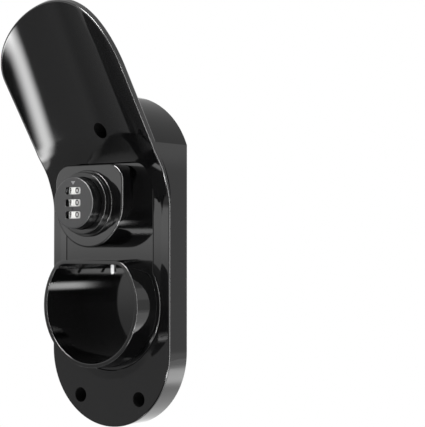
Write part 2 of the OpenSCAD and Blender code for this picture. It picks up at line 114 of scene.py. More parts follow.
# the hollow's bite into the front wall, the width of the collar and the depth of the panel's opening
SKIN_BITE, COLLAR_W, OPENING_BACK = 0.25, 2.2, -FACE_T - 3
# posts around the wall screws, bosses for the panel's screws, and ribs
POST_WALL, POST_F, BOSS_F, BOSS_HOLE_F = 2.2, -0.6, -0.5, -1.4
RIB_HALF, RIB_BACK, RIB_START, FOOT_RIB_TOP = 1, 1 - BODY_D, 5, -5
# faces this near to the outline of a hole or of the panel's gap are its walls, painted dark as shade
HOLE_MARGIN, RIM_MARGIN, RIM_STEP = 0.1, 0.4, 0.5
# clearances of the panel's bores, the front end of the dock's back part, and the straps' length in ear radii
BARREL_PLAY, SCREW_PLAY, DOCK_BACK_F, STRAP_REACH = 0.3, 0.6, -0.9, 2.5
# the tongue's slot: its play, where its swing is measured under the roof, its sides and its lower end
SLOT_PLAY, SLOT_DROP, SLOT_LEFT, SLOT_RIGHT, SLOT_LOW = 0.6, 0.5, 2.5, 1, 6
# the lock: play around its core, length of its barrel, the knob's height over the flange, and its windows
BORE_PLAY, BARREL_LEN, KNOB_LIFT, WINDOW_R, WINDOW_DEPTH = 0.06, 9, 0.3, 1.0, 3
# cutters reach this far, and pieces that join or cut one another lap by this much
FAR, LAP = 60, 1
# rings of the front skin from its edge inwards, close ones and then even ones, and points of its fillets
CLOSE_RINGS, EVEN_START, EVEN_RINGS, SKIN_STEPS = [1.6, 2.6, 4.0, 5.8], 8, 16, 11
# rings of the surfaces behind it, drawn in towards one point, and the spacing of their points
FAN_CENTER, FAN_RINGS, FAN_REACH, OUTLINE_STEP = np.array([0, 90.0]), 22, 0.97, 2.5
# stations searched for a point of the surface
STATION_MIN, STATION_MAX, HALVINGS = -120.0, 330.0, 48


# the hook's surface
def ease(a, b, s):
    t = np.clip((np.asarray(s, float) - a) / (b - a), 0, 1)
    return t * t * (3 - 2 * t)


def lean(s):
    return np.clip((np.asarray(s, float) - LEAN_Z) / LEAN_R, 0, LEAN_A)


def mid_f(s):
    return LEAN_R * (1 - np.cos(lean(s))) + np.maximum(0, s - BEND_END) * math.sin(LEAN_A)


def mid_z(s):
    return np.minimum(s, LEAN_Z) + LEAN_R * np.sin(lean(s)) + np.maximum(0, s - BEND_END) * math.cos(LEAN_A)


def trough(s):
    return ease(TROUGH_S0, TROUGH_S1, s) * (TROUGH_D + TROUGH_GROW * (s - BEND_END))


def thick(s):
    return FACE_T + (HOOK_T - FACE_T) * ease(TROUGH_S0 - THICK_LEAD, TROUGH_S1 + THICK_TAIL, s)


def surface(s, x, o):
    """Point at station s and offset x across, lying o behind the front surface."""
    s, x, o = np.broadcast_arrays(np.asarray(s, float), np.asarray(x, float), np.asarray(o, float))
    v = trough(s) * (x / HALF_W) ** 2 - o
    return np.stack([x, -BODY_D - mid_f(s) - v * np.cos(lean(s)), mid_z(s) - v * np.sin(lean(s))], -1)


def front_y(x, z, setback):
    """Y of the surface that lies setback(s) behind the front, at x and height z."""
    lo, hi = np.full(np.shape(z), STATION_MIN), np.full(np.shape(z), STATION_MAX)
    for _ in range(HALVINGS):
        mid = (lo + hi) / 2
        high = surface(mid, x, setback(mid))[..., 2] > z
        hi, lo = np.where(high, mid, hi), np.where(high, lo, mid)
    return surface(mid, x, setback(mid))[..., 1]


# meshes
def new_object(name, verts, faces):
    me = bpy.data.meshes.new(name)
    me.from_pydata([tuple(v) for v in np.asarray(verts) * MM], [], faces)
    me.update()
    bm = bmesh.new()
    bm.from_mesh(me)
    bmesh.ops.remove_doubles(bm, verts=bm.verts, dist=1e-7)
    bmesh.ops.recalc_face_normals(bm, faces=bm.faces)
    bm.to_mesh(me)
    bm.free()
    ob = bpy.data.objects.new(name, me)
    bpy.context.collection.objects.link(ob)
    return ob


def loft(name, rings, caps=True):
    """Closed solid through rings of the same number of points; uncapped ends must close on themselves."""
    n = len(rings[0])
    verts = np.concatenate(rings)
    faces = []
    for k in range(len(rings) - 1):
        a = k * n
        faces += [(a + i, a + (i + 1) % n, a + n + (i + 1) % n, a + n + i) for i in range(n)]
    if caps:
        faces.append(tuple(range(n))[::-1])
        faces.append(tuple(range(len(verts) - n, len(verts))))
    return new_object(name, verts, faces)


def boolean(ob, *tools, op="DIFFERENCE"):
    for tool in tools:
        mod = ob.modifiers.new("cut", "BOOLEAN")
        mod.operation, mod.solver, mod.object = op, "MANIFOLD", tool
        bpy.context.view_layer.update()
        done = bpy.data.meshes.new_from_object(ob.evaluated_get(bpy.context.evaluated_depsgraph_get()))
        ob.modifiers.clear()
        old, ob.data = ob.data, done
        bpy.data.meshes.remove(old)
        mesh = tool.data
        bpy.data.objects.remove(tool)
        bpy.data.meshes.remove(mesh)
    return ob


def smooth(ob, angle=32, weight=60):
    ob.data.shade_smooth()
    ob.data.set_sharp_from_angle(angle=math.radians(angle))
    mod = ob.modifiers.new("flat faces keep their normals", "WEIGHTED_NORMAL")
    mod.keep_sharp = True
    mod.weight = weight
    return ob


def arc(cx, cz, r, a0, a1, n, ends=(True, True)):
    """Points of an arc, angles in degrees from +X towards +Z."""
    a = np.radians(np.linspace(a0, a1, n))
    a = a[0 if ends[0] else 1:None if ends[1] else -1]
    return np.stack([cx + r * np.cos(a), cz + r * np.sin(a)], -1)


def resample(points, step):
    """Closed outline with points no further apart than step along straight runs."""
    out = []
    for p, q in zip(points, np.roll(points, -1, 0)):
        n = max(1, int(np.linalg.norm(q - p) // step))
        out += [p + (q - p) * k / n for k in range(n)]
    return np.array(out)


def at_f(outline, f):
    """Flat outline in X and Z, set f in front of the flat face."""
    return np.stack([outline[:, 0], np.full(len(outline), -BODY_D - f), outline[:, 1]], -1)


def body_outline(inset):
    r, c = HALF_W - inset, CROWN_R - inset
    kink = math.degrees(math.acos(r / c))
    return np.concatenate([arc(0, FOOT_Z, r, -180, 0, n=65), arc(0, CROWN_Z, c, kink, 180 - kink, n=65)])


def d_outline(inset, r, h, c):
    """Round outline with a flat top and round corners."""
    r, h, c = r - inset, h - inset, c - inset
    cx = math.sqrt((r - c) ** 2 - (h - c) ** 2)
    t = math.degrees(math.atan2(h - c, cx))
    return np.concatenate([arc(0, 0, r, 180 - t, 360 + t, n=97),
                           arc(cx, h - c, c, t, 90, n=15, ends=(False, True)),
                           arc(-cx, h - c, c, 90, 180 - t, n=15, ends=(True, False))])


def dock_outline(inset, scale=1.0):
    return d_outline(inset, DOCK_R * scale, DOCK_ROOF * scale, DOCK_CORNER * scale) + [0, DOCK_Z]


def house_outline(inset):
    """Half round below, straight sides above, and a flat top with round corners."""
    r, h, c = HOUSE_R - inset, HOUSE_TOP - inset, HOUSE_CORNER - inset
    return np.concatenate([arc(0, 0, r, 180, 360, n=65), arc(r - c, h - c, c, 0, 90, n=17),
                           arc(c - r, h - c, c, 90, 180, n=17)]) + [0, LOCK_Z]


def panel_outline(inset):
    h, r, c = PANEL_HALF - inset, PANEL_CIRCLE - inset, PANEL_R - inset
    t = math.degrees(math.acos(h / r))
    x, z = PANEL_HALF - PANEL_R, PANEL_TOP - PANEL_R
    return np.concatenate([arc(0, DOCK_Z, r, 180 - t, 360 + t, n=97), arc(x, z, c, 0, 90, n=19),
                           arc(-x, z, c, 90, 180, n=19)])


def frame_outline(inset):
    h = FRAME_HALF - inset
    top = PANEL_TOP - PANEL_R / 3
    return np.concatenate([arc(0, DOCK_Z - FRAME_SINK, h, 180, 360, n=65), [[h, top], [-h, top]]])


def fillet(r, n=7):
    """(inset, setback) pairs from the side of a convex edge to its face."""
    return [(r * (1 - math.cos(a)), r * (1 - math.sin(a))) for a in np.linspace(0, math.pi / 2, n)]


def prism(name, outline, f0, f1, edge_r=0.0):
    """Solid of outline(inset) from f0 to f1, its front edge rounded."""
    rings = [at_f(outline(0), f0)]
    rings += [at_f(outline(i), f1 - b) for i, b in fillet(edge_r)] if edge_r else [at_f(outline(0), f1)]
    return loft(name, rings)


def hollow(name, outline, f0, f1, edge_r, reach=5.0):
    """Cutter of outline(inset) from f0 out past f1, which leaves the edge at f1 rounded."""
    flare = [at_f(outline(-i), f1 - b) for i, b in fillet(edge_r)]
    return loft(name, [at_f(outline(0), f0)] + flare + [at_f(outline(-edge_r), f1 + reach)])


def round_bar(x, z, f0, f1, d, n=48):
    a = np.radians(np.arange(n) * 360 / n)
    ring = np.stack([x + d / 2 * np.cos(a), z + d / 2 * np.sin(a)], -1)
    return loft("bar", [at_f(ring, f0), at_f(ring, f1)])


def block(x0, x1, z0, z1, f0, f1):
    corners = np.array([[x0, z0], [x1, z0], [x1, z1], [x0, z1]], float)
    return loft("block", [at_f(corners, f0), at_f(corners, f1)])


def lock_ring(r, f, n=96):
    """Circle of radius r about the lock's axis, f in front of the flat face."""
    a = np.arange(n) * 2 * math.pi / n
    return np.stack([r * np.cos(a), np.full(n, -BODY_D - f), LOCK_Z + r * np.sin(a)], -1)


def revolve(name, profile):
    """Ring turned about the lock's axis from (radius, f) points, closed back to the first."""
    rings = [lock_ring(r, f) for r, f in profile]
    m, n = len(rings), len(rings[0])
    faces = [((k * n + i), (k * n + (i + 1) % n), ((k + 1) % m * n + (i + 1) % n), ((k + 1) % m * n + i))
             for k in range(m) for i in range(n)]
    return new_object(name, np.concatenate(rings), faces)


def round_edge(r, f, size, outward=True, n=5):
    """Profile points of a convex outer edge at radius r and front f, from its side to its face."""
    return [(r - i if outward else r + i, f - b) for i, b in fillet(size, n)]


# materials
def material(name, color, roughness, metallic=0.0, specular=0.5):
    ma = bpy.data.materials.new(name)
    ma.use_nodes = True
    p = ma.node_tree.nodes["Principled BSDF"]
    p.inputs["Base Color"].default_value = (*color, 1)
    p.inputs["Roughness"].default_value = roughness
    p.inputs["Metallic"].default_value = metallic
    p.inputs["Specular IOR Level"].default_value = specular
    return ma


def add_grain(ma, scale, strength, distance):
    nt = ma.node_tree
    coord = nt.nodes.new("ShaderNodeTexCoord")
    noise = nt.nodes.new("ShaderNodeTexNoise")
    bump = nt.nodes.new("ShaderNodeBump")
    noise.inputs["Scale"].default_value = scale
    bump.inputs["Strength"].default_value = strength
    bump.inputs["Distance"].default_value = distance
    nt.links.new(coord.outputs["Object"], noise.inputs["Vector"])
    nt.links.new(noise.outputs["Fac"], bump.inputs["Height"])
    nt.links.new(bump.outputs["Normal"], nt.nodes["Principled BSDF"].inputs["Normal"])
    return ma


def add_wear(ma, scale, low, high, stretch=1.0, span=(0.3, 0.7)):
    """Roughness that wanders between two values over a span of noise, drawn out along Z for brushed metal."""
    nt = ma.node_tree
    coord = nt.nodes.new("ShaderNodeTexCoord")
    mapping = nt.nodes.new("ShaderNodeMapping")
    noise = nt.nodes.new("ShaderNodeTexNoise")
    spread = nt.nodes.new("ShaderNodeMapRange")
    mapping.inputs["Scale"].default_value = (1, 1, 1 / stretch)
    noise.inputs["Scale"].default_value = scale
    spread.inputs["From Min"].default_value, spread.inputs["From Max"].default_value = span
    spread.inputs["To Min"].default_value, spread.inputs["To Max"].default_value = low, high
    nt.links.new(coord.outputs["Object"], mapping.inputs["Vector"])
    nt.links.new(mapping.outputs["Vector"], noise.inputs["Vector"])
    nt.links.new(noise.outputs["Fac"], spread.inputs["Value"])
    nt.links.new(spread.outputs["Result"], nt.nodes["Principled BSDF"].inputs["Roughness"])
    return ma


# the moulding's skin waves a little, too little to blur what it mirrors
GLOSS = add_wear(material("gloss_black_plastic", (0.003, 0.003, 0.0032), 0.06, specular=0.52),
                 scale=60, low=0.05, high=0.07)
add_grain(GLOSS, scale=700, strength=0.03, distance=0.00002)
COAT = add_wear(material("black_coated_metal", (0.004, 0.004, 0.0042), 0.16, specular=0.4),
                scale=300, low=0.13, high=0.19)
SATIN = add_grain(material("satin_textured_black", (0.02, 0.02, 0.021), 0.42, specular=0.5),
                  scale=4200, strength=0.25, distance=0.0001)
DIAL = add_wear(material("dial_white", (0.86, 0.86, 0.84), 0.35), scale=500, low=0.3, high=0.4)
FIGURE = material("figure_black", (0.02, 0.02, 0.02), 0.5)
# matt near-black without sheen for the walls of the holes and of the panel's gap: painted shade standing in
# for the dark of these recesses
PAINTED_SHADE = add_wear(material("painted_shade_black", (0.004, 0.004, 0.004), 0.8, specular=0.05),
                  scale=400, low=0.75, high=0.85)
MARK = material("mark_grey", (0.3, 0.3, 0.31), 0.5)
STEEL = add_wear(material("bright_steel", (0.78, 0.78, 0.79), 0.22, metallic=1.0),
                 scale=3000, low=0.17, high=0.27, stretch=30)
ZINC = add_wear(material("zinc_plated_steel", (0.6, 0.61, 0.63), 0.35, metallic=1.0),
                scale=900, low=0.3, high=0.42)


def paint(ob, ma):
    ob.data.materials.clear()
    ob.data.materials.append(ma)
    return ob


# wall body with its hook
def stadium(inset, n_round=49, step=2.2):
    """Outline of the front and hook laid flat, as (x, station), inset from its edge."""
    r = HALF_W - inset
    n_side = int((ROUND_S - FOOT_Z) / step)
    side = np.linspace(FOOT_Z, ROUND_S, n_side)[1:-1]
    lower, upper = arc(0, FOOT_Z, r, -180, 0, n_round), arc(0, 0, r, 0, 180, n_round)
    upper = upper * [1, TIP_LEN / HALF_W] + [0, ROUND_S]
    right = np.stack([np.full(len(side), r), side], -1)
    left = np.stack([np.full(len(side), -r), side[::-1]], -1)
    return np.concatenate([lower, right, upper, left])


def front_skin():
    """The front wall and the hook as one curved plate with rounded edges."""
    inward = np.concatenate([CLOSE_RINGS, np.linspace(EVEN_START, HALF_W, EVEN_RINGS)])
    steps = [(d, 0.0) for d in inward[::-1]]
    steps += [(i, b) for i, b in fillet(EDGE_R, SKIN_STEPS)[::-1]]
    back = [(i, -b) for i, b in fillet(HOOK_BACK_R, SKIN_STEPS)] + [(d, 0.0) for d in inward]
    rings = []
    for d, o in steps:
        xs = stadium(d)
        rings.append(surface(xs[:, 1], xs[:, 0], o))
    for d, o in back:
        xs = stadium(d)
        rings.append(surface(xs[:, 1], xs[:, 0], thick(xs[:, 1]) + o))
    return loft("wall_body_skin", rings, caps=False)


def back_block(name, inset, setback, y_back):
    """Solid from y_back to the surface setback(s) behind the front, inside the body's outline."""
    outline = resample(body_outline(inset), OUTLINE_STEP)
    fronts = []
    for k in np.linspace(0, FAN_REACH, FAN_RINGS):
        ring = FAN_CENTER + (outline - FAN_CENTER) * (1 - k)
        fronts.append(np.stack([ring[:, 0], front_y(ring[:, 0], ring[:, 1], setback), ring[:, 1]], -1))
    back = np.stack([outline[:, 0], np.full(len(outline), y_back), outline[:, 1]], -1)
    return loft(name, [back] + fronts)


def core(name, inset):
    """The body from the wall to a little behind its front surface."""
    def setback(s):
        return HOOK_T / 2 * ease(TROUGH_S0 - CORE_LEAD, TROUGH_S0 + CORE_RUN, s) + CORE_SET
    return back_block(name, inset, setback, 0.0)


def wall_body():
    body = core("wall_body_visual", SKIN_LAP)
    boolean(body, front_skin(), op="UNION")
    boolean(body, back_block("cavity", WALL, lambda s: thick(s) - SKIN_BITE, LAP))
    # posts, ribs, bosses and the wall around the opening, all in the hollow
    post_d = HEAD_HOLE_D + 2 * POST_WALL
    posts = [round_bar(m * SCREW_GAP / 2, 0, -BODY_D, POST_F, post_d) for m in (-1, 1)]
    posts.append(boolean(round_bar(0, SCREW_TOP_Z, -BODY_D, mid_f(SCREW_TOP_Z) - LAP, post_d),
                         core("core", WALL / 2), op="INTERSECT"))
    posts += [round_bar(x, z, EAR_F, BOSS_F, BOSS_D, n=32) for x, z in EARS]
    boolean(body, *posts, op="UNION")
    ribs = [block(-RIB_HALF, RIB_HALF, SCREW_TOP_Z, CROWN_Z + CROWN_R, RIB_BACK, FAR)]
    for m in (-1, 1):
        ribs.append(block(*sorted((m * RIB_START, m * HALF_W)),
                          SCREW_TOP_Z - RIB_HALF, SCREW_TOP_Z + RIB_HALF, RIB_BACK, FAR))
    for x in (-SCREW_GAP / 2, SCREW_GAP / 2):
        ribs.append(block(x - RIB_HALF, x + RIB_HALF, FOOT_Z - HALF_W, FOOT_RIB_TOP, RIB_BACK, POST_F))
    collar = prism("collar", lambda i: panel_outline(i - COLLAR_W), -FACE_T, FAR / 2)
    boolean(collar, block(-HALF_W, HALF_W, -HALF_W, TROUGH_S0, -FAR, FAR))
    for piece in ribs + [collar]:
        boolean(piece, core("core", WALL / 2), op="INTERSECT")
        boolean(body, piece, op="UNION")
    # the sloping frame, the panel's opening, the screw holes
    slope = (FRAME_W - GAP_SEEN) / FRAME_RISE
    levels = [(slope * FRAME_ROOT, -FRAME_ROOT), (0.0, 0.0), (-FRAME_W + GAP_SEEN, FRAME_RISE)]
    boolean(body, loft("frame", [at_f(frame_outline(-g), f) for g, f in levels]), op="UNION")
    boolean(body, prism("opening", lambda i: panel_outline(i - GAP_SEEN), OPENING_BACK, FAR))
    # a ledge behind the panel's edge, wider at its top, keeps daylight out of the gap
    root, lip_w, lip_back = GAP_SEEN + LEDGE_STEP, LEDGE_W - LEDGE_STEP, LEDGE_BACK + LEDGE_STEP
    for inner, outer, back, front in ((-root, -LEDGE_W, LEDGE_BACK, ROOT_F),
                                      (LOW_LAP, -lip_w, lip_back, LIP_F)):
        ring = prism("ledge", lambda i: panel_outline(i + outer), back, front)
        boolean(ring, prism("ledge_in", lambda i: panel_outline(i + inner), back - LAP, front + LAP))
        boolean(ring, block(-BODY_W, 0, LOCK_Z - TONGUE_SWEEP, LOCK_Z + TONGUE_SIDE,
                            back - LAP, front + LAP))
        boolean(body, ring, op="UNION")
    flat = PANEL_HALF - PANEL_R + LEDGE_LAP
    boolean(body, block(-flat, flat, PANEL_TOP + root, PANEL_TOP + LEDGE_W, LEDGE_BACK, ROOT_F),
            block(-flat, flat, PANEL_TOP - LEDGE_LAP, PANEL_TOP + lip_w, lip_back, LIP_F), op="UNION")
    boolean(body, *[round_bar(x, z, EAR_F - LAP, BOSS_HOLE_F, EAR_SCREW_D, n=24) for x, z in EARS])
    holes = np.array([(-SCREW_GAP / 2, 0), (SCREW_GAP / 2, 0), (0, SCREW_TOP_Z)])
    for x, z in holes:
        boolean(body, round_bar(x, z, SCREW_FLOOR - BODY_D, FAR, HEAD_HOLE_D),
                round_bar(x, z, -BODY_D - LAP, 0, SHANK_HOLE_D))
    # the walls of the screw holes and of the panel's gap get the matt near-black: painted shade
    paint(body, GLOSS).data.materials.append(PAINTED_SHADE)
    rim = resample(panel_outline(-GAP_SEEN), RIM_STEP)
    for face in body.data.polygons:
        if abs(face.normal.y) > WALL_TILT:
            continue
        at = np.array([face.center.x, face.center.z]) / MM
        in_hole = np.min(np.linalg.norm(holes - at, axis=1)) < HEAD_HOLE_D / 2 + HOLE_MARGIN
        if in_hole or np.min(np.linalg.norm(rim - at, axis=1)) < RIM_MARGIN:
            face.material_index = 1
    return smooth(body, KINK_ANGLE)


# panel with lock housing and dock
def dock_insert():
    body = prism("dock_insert_visual", panel_outline, -FACE_T, FRAME_RISE, PANEL_EDGE_R)
    boolean(body, prism("house", house_outline, -LAP, HOUSE_OUT, HOUSE_EDGE_R), op="UNION")
    rings = [at_f(dock_outline(0, DOCK_TAPER), -LAP)]
    rings += [at_f(dock_outline(i), DOCK_OUT - b) for i, b in fillet(RIM_R)]
    dock_back = prism("dock_back", dock_outline, -DOCK_IN - DOCK_FLOOR, DOCK_BACK_F)
    boolean(body, loft("dock", rings), dock_back, op="UNION")
    boolean(body, prism("house_in", lambda i: house_outline(i + HOUSE_WALL),
                        -FACE_T - LAP, HOUSE_OUT - HOUSE_WALL))
    boolean(body, round_bar(0, LOCK_Z, 0, HOUSE_OUT + LAP, BARREL_D + BARREL_PLAY, n=96))
    boolean(body, hollow("dock_in", lambda i: dock_outline(i + DOCK_WALL), -DOCK_IN, DOCK_OUT, RIM_R))
    # ears behind the front wall, and the slot that the tongue swings through
    ear_back = EAR_F - EAR_T
    for m in (-1, 1):
        heights = EAR_TOP_Z - EAR_R, EAR_TOP_Z + EAR_R
        upright = block(*sorted((m * (PANEL_HALF - 2 * EAR_R), m * PANEL_HALF)), *heights, ear_back, -LAP)
        boolean(upright, prism("panel", panel_outline, -FAR, FAR), op="INTERSECT")
        tab = block(*sorted((m * (PANEL_HALF - EAR_R), m * (EAR_X + EAR_R))), *heights, ear_back, EAR_F)
        low = round_bar(m * EAR_LOW_X, EAR_LOW_Z, ear_back, EAR_F, 2 * EAR_R, n=32)
        u = np.array([-m * math.cos(EAR_TURN), math.sin(EAR_TURN)])
        w = np.array([math.sin(EAR_TURN), m * math.cos(EAR_TURN)])
        foot = np.array([m * EAR_LOW_X, EAR_LOW_Z])
        strap = np.array([foot + a * EAR_R * w + b * EAR_R * u
                          for a, b in ((-1, 0), (1, 0), (1, STRAP_REACH), (-1, STRAP_REACH))])
        strap_ob = loft("strap", [at_f(strap, f) for f in (ear_back, EAR_F)])
        boolean(body, upright, tab, low, strap_ob, op="UNION")
    cam_back = -FACE_T - CAM_GAP - CAM_T
    drop = LOCK_Z - DOCK_Z - DOCK_ROOF + SLOT_DROP
    slot_x = math.sqrt((CAM_REACH + SLOT_PLAY) ** 2 - drop ** 2) + SLOT_LEFT
    slot_z = DOCK_Z + SLOT_LOW
    boolean(body, block(-slot_x, FINGER_W / 2 + SLOT_RIGHT, slot_z, slot_z + DOCK_ROOF,
                        cam_back - SLOT_PLAY, -FACE_T))
    boolean(body, *[round_bar(x, z, ear_back - LAP, EAR_F + LAP, EAR_SCREW_D + SCREW_PLAY, n=24)
                    for x, z in EARS])
    return smooth(paint(body, GLOSS))


# lock
def lock_bezel():
    bore, back = CORE_D / 2 + BORE_PLAY, HOUSE_OUT - BARREL_LEN
    prof = [(bore, FLANGE_F), (bore, back), (BARREL_D / 2, back), (BARREL_D / 2, HOUSE_OUT)]
    prof += [(FLANGE_D / 2, HOUSE_OUT)] + round_edge(FLANGE_D / 2, FLANGE_F, BEZEL_EDGE_R)
    prof += [(RING_D / 2, FLANGE_F)] + round_edge(RING_D / 2, HOUSE_OUT + RING_H, BEZEL_EDGE_R)
    inner = KNOB_D / 2 + KNOB_GAP
    prof += round_edge(inner, HOUSE_OUT + RING_H, RING_IN_R, outward=False)[::-1] + [(inner, FLANGE_F)]
    return smooth(paint(revolve("lock_bezel_visual", prof), COAT))


def window_outline(z):
    def outline(inset):
        w, h, r = WINDOW_W / 2 - inset, WINDOW_H / 2 - inset, WINDOW_R - inset
        x, d = w - r, h - r
        return np.concatenate([arc(sx * x, z + sz * d, r, a, a + 90, n=7)
                               for sx, sz, a in ((1, 1, 0), (-1, 1, 90), (-1, -1, 180), (1, -1, 270))])
    return outline


def lock_knob():
    back = FLANGE_F + KNOB_LIFT
    prof = [(CORE_D / 2, KNOB_F - KNOB_FACE), (CORE_D / 2, back), (KNOB_D / 2, back)]
    prof += round_edge(KNOB_D / 2, KNOB_F, KNOB_EDGE_R, n=7)
    body = loft("lock_knob_visual", [lock_ring(r, f) for r, f in prof])
    for k in (-1, 0, 1):
        outline = window_outline(LOCK_Z + k * DIAL_PITCH)
        boolean(body, hollow("window", outline, KNOB_F - WINDOW_DEPTH, KNOB_F, WINDOW_EDGE_R))
    # engraved index: a triangle over the top window and a tick between each two windows
    top = LOCK_Z + DIAL_PITCH + WINDOW_H / 2 + MARK_GAP
    marks = [np.array([[0, top], [MARK_W / 2, top + MARK_H], [-MARK_W / 2, top + MARK_H]])]
    for z in (LOCK_Z + DIAL_PITCH / 2, LOCK_Z - DIAL_PITCH / 2):
        marks.append(np.array([[-TICK_W / 2, z - TICK_H / 2], [TICK_W / 2, z - TICK_H / 2],
                               [TICK_W / 2, z + TICK_H / 2], [-TICK_W / 2, z + TICK_H / 2]]))
    for mark in marks:
        boolean(body, loft("mark", [at_f(mark, f) for f in (KNOB_F - MARK_DEPTH, KNOB_F + LAP)]))
    paint(body, SATIN)
    for ma in (COAT, MARK):
        body.data.materials.append(ma)
    floor_y = (MARK_DEPTH - KNOB_F - BODY_D) * MM
    for face in body.data.polygons:
        if abs(face.normal.y) < KNOB_SIDE_TILT:
            face.material_index = 1
        elif abs(face.center.y - floor_y) < FLOOR_TOL * MM and face.center.z > top * MM:
            face.material_index = 2
    return smooth(body)


def dial_figures(name, z):
    """Ten figures around a dial, each lying on its own flat between two flutes."""
    verts, faces = [], []
    radius = DIAL_D / 2 + FIGURE_LIFT
    for k in range(FIGURES):
        curve = bpy.data.curves.new("figure", "FONT")
        curve.body, curve.size, curve.offset = str(k), FIGURE_SIZE, FIGURE_BOLD
        curve.align_x, curve.align_y = "CENTER", "CENTER"
        ob = bpy.data.objects.new("figure", curve)
        bpy.context.collection.objects.link(ob)
        bpy.context.view_layer.update()
        me = bpy.data.meshes.new_from_object(ob.evaluated_get(bpy.context.evaluated_depsgraph_get()))
        # the figure 0 stands right of the middle, the figure 9 left of it
        a = math.radians(FIGURE_TURN + 360 / FIGURES * k)
        out, side = np.array([math.sin(a), -math.cos(a)]), np.array([math.cos(a), math.sin(a)])
        n = len(verts)
        for v in me.vertices:
            x, y = out * radius + side * v.co.x
            verts.append((x, y - BODY_D - DIAL_F, z + v.co.y))
        faces += [tuple(n + i for i in p.vertices) for p in me.polygons]
        bpy.data.objects.remove(ob)
        bpy.data.curves.remove(curve)
        bpy.data.meshes.remove(me)
    me = bpy.data.meshes.new(name)
    me.from_pydata([tuple(MM * c for c in v) for v in verts], [], faces)
    ob = bpy.data.objects.new(name, me)
    bpy.context.collection.objects.link(ob)
    return paint(ob, FIGURE)


body_ob = wall_body()
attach(body_ob, "holder")
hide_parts("wall_body")

insert_ob = dock_insert()
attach(insert_ob, "holder")
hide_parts("dock_insert")

bezel_ob = lock_bezel()
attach(bezel_ob, "holder")
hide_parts("lock_barrel")

knob_ob = lock_knob()
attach(knob_ob, "knob")
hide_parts("lock_knob")

for dial, body_name, shift in (("upper", "dial_a", 1), ("middle", "dial_b", 0), ("lower", "dial_c", -1)):
    figures = dial_figures(f"dial_{dial}_figures", LOCK_Z + shift * DIAL_PITCH)
    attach(figures, body_name)

for name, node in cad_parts.items():
    smooth(node)
    if name.startswith("dial_") and name != "dial_axle":
        paint(node, DIAL)
    elif name == "lock_cam":
        paint(node, STEEL)
    elif name not in ("wall_body", "dock_insert", "lock_barrel", "lock_knob"):
        paint(node, ZINC)

# surroundings
AZIMUTH = math.radians(40.3)
CAM_DISTANCE = 0.800
PX_PER_MM = 1.643
FOCAL_PX = PX_PER_MM * CAM_DISTANCE / MM
SENSOR, CLIP_START, CLIP_END = 36, 0.05, 20
PHOTO_W, PHOTO_H = 425, 427
AXIS_PX, HORIZON_PX = 109.5, 246.3
CAM_HEIGHT = 0.0912

to_object = Vector((-math.sin(AZIMUTH), math.cos(AZIMUTH), 0))
to_right = Vector((math.cos(AZIMUTH), math.sin(AZIMUTH), 0))
cam = bpy.data.cameras.new("camera")
cam.sensor_fit, cam.sensor_height, cam.sensor_width = "VERTICAL", SENSOR, SENSOR
cam.lens = FOCAL_PX / PHOTO_H * SENSOR
cam.clip_start, cam.clip_end = CLIP_START, CLIP_END
cam_ob = bpy.data.objects.new("camera", cam)
bpy.context.collection.objects.link(cam_ob)
cam_ob.location = Vector((0, -BODY_D * MM, CAM_HEIGHT)) - to_object * CAM_DISTANCE
aim = to_object + to_right * ((PHOTO_W / 2 - AXIS_PX) / FOCAL_PX)
aim += Vector((0, 0, (HORIZON_PX - PHOTO_H / 2) / FOCAL_PX))
cam_ob.rotation_euler = aim.to_track_quat("-Z", "Y").to_euler()
bpy.context.scene.camera = cam_ob

WORLD_SEEN, WORLD_DIFFUSE = 1.0, 0.9
FLOOR_Z, FLOOR_SIZE, FLOOR_SEEN = -1.3, 12.0, 0.6
CARD_TARGET, DOCK_FLOOR_SPOT = Vector((0, -0.03, 0.1)), Vector((-0.017, -0.002, 0.054))
DOCK_FOOT_SPOT = Vector((0.027, -0.017, 0.022))


def math_node(nt, operation, *inputs):
    """Math node fed by sockets or numbers; gives back its output."""
    node = nt.nodes.new("ShaderNodeMath")
    node.operation = operation
    for k, value in enumerate(inputs):
        if isinstance(value, (int, float)):
            node.inputs[k].default_value = value
        else:
            nt.links.new(value, node.inputs[k])
    return node.outputs[0]


def seen_rays(nt):
    """1 for rays that show the surroundings as they look, 0 for the rays that light things."""
    path = nt.nodes.new("ShaderNodeLightPath").outputs
    seen = math_node(nt, "MAXIMUM", path["Is Camera Ray"], path["Is Glossy Ray"])
    return math_node(nt, "MAXIMUM", seen, path["Is Transmission Ray"])


world = bpy.data.worlds.new("studio")
bpy.context.scene.world = world
world.use_nodes = True
tree = world.node_tree
tree.nodes["Background"].inputs["Color"].default_value = (1, 1, 1, 1)
strength = math_node(tree, "MULTIPLY_ADD", seen_rays(tree), WORLD_SEEN - WORLD_DIFFUSE, WORLD_DIFFUSE)
tree.links.new(strength, tree.nodes["Background"].inputs["Strength"])

bpy.ops.mesh.primitive_plane_add(size=FLOOR_SIZE, location=(0, 0, FLOOR_Z))
floor = bpy.context.object
floor.name = "floor"
pale = material("pale_floor", (0.9, 0.9, 0.9), 0.9, specular=0.0)
pale_bsdf = pale.node_tree.nodes["Principled BSDF"]
pale_bsdf.inputs["Emission Color"].default_value = (1, 1, 1, 1)
pale.node_tree.links.new(math_node(pale.node_tree, "MULTIPLY", seen_rays(pale.node_tree), FLOOR_SEEN),
                         pale_bsdf.inputs["Emission Strength"])
paint(floor, pale)


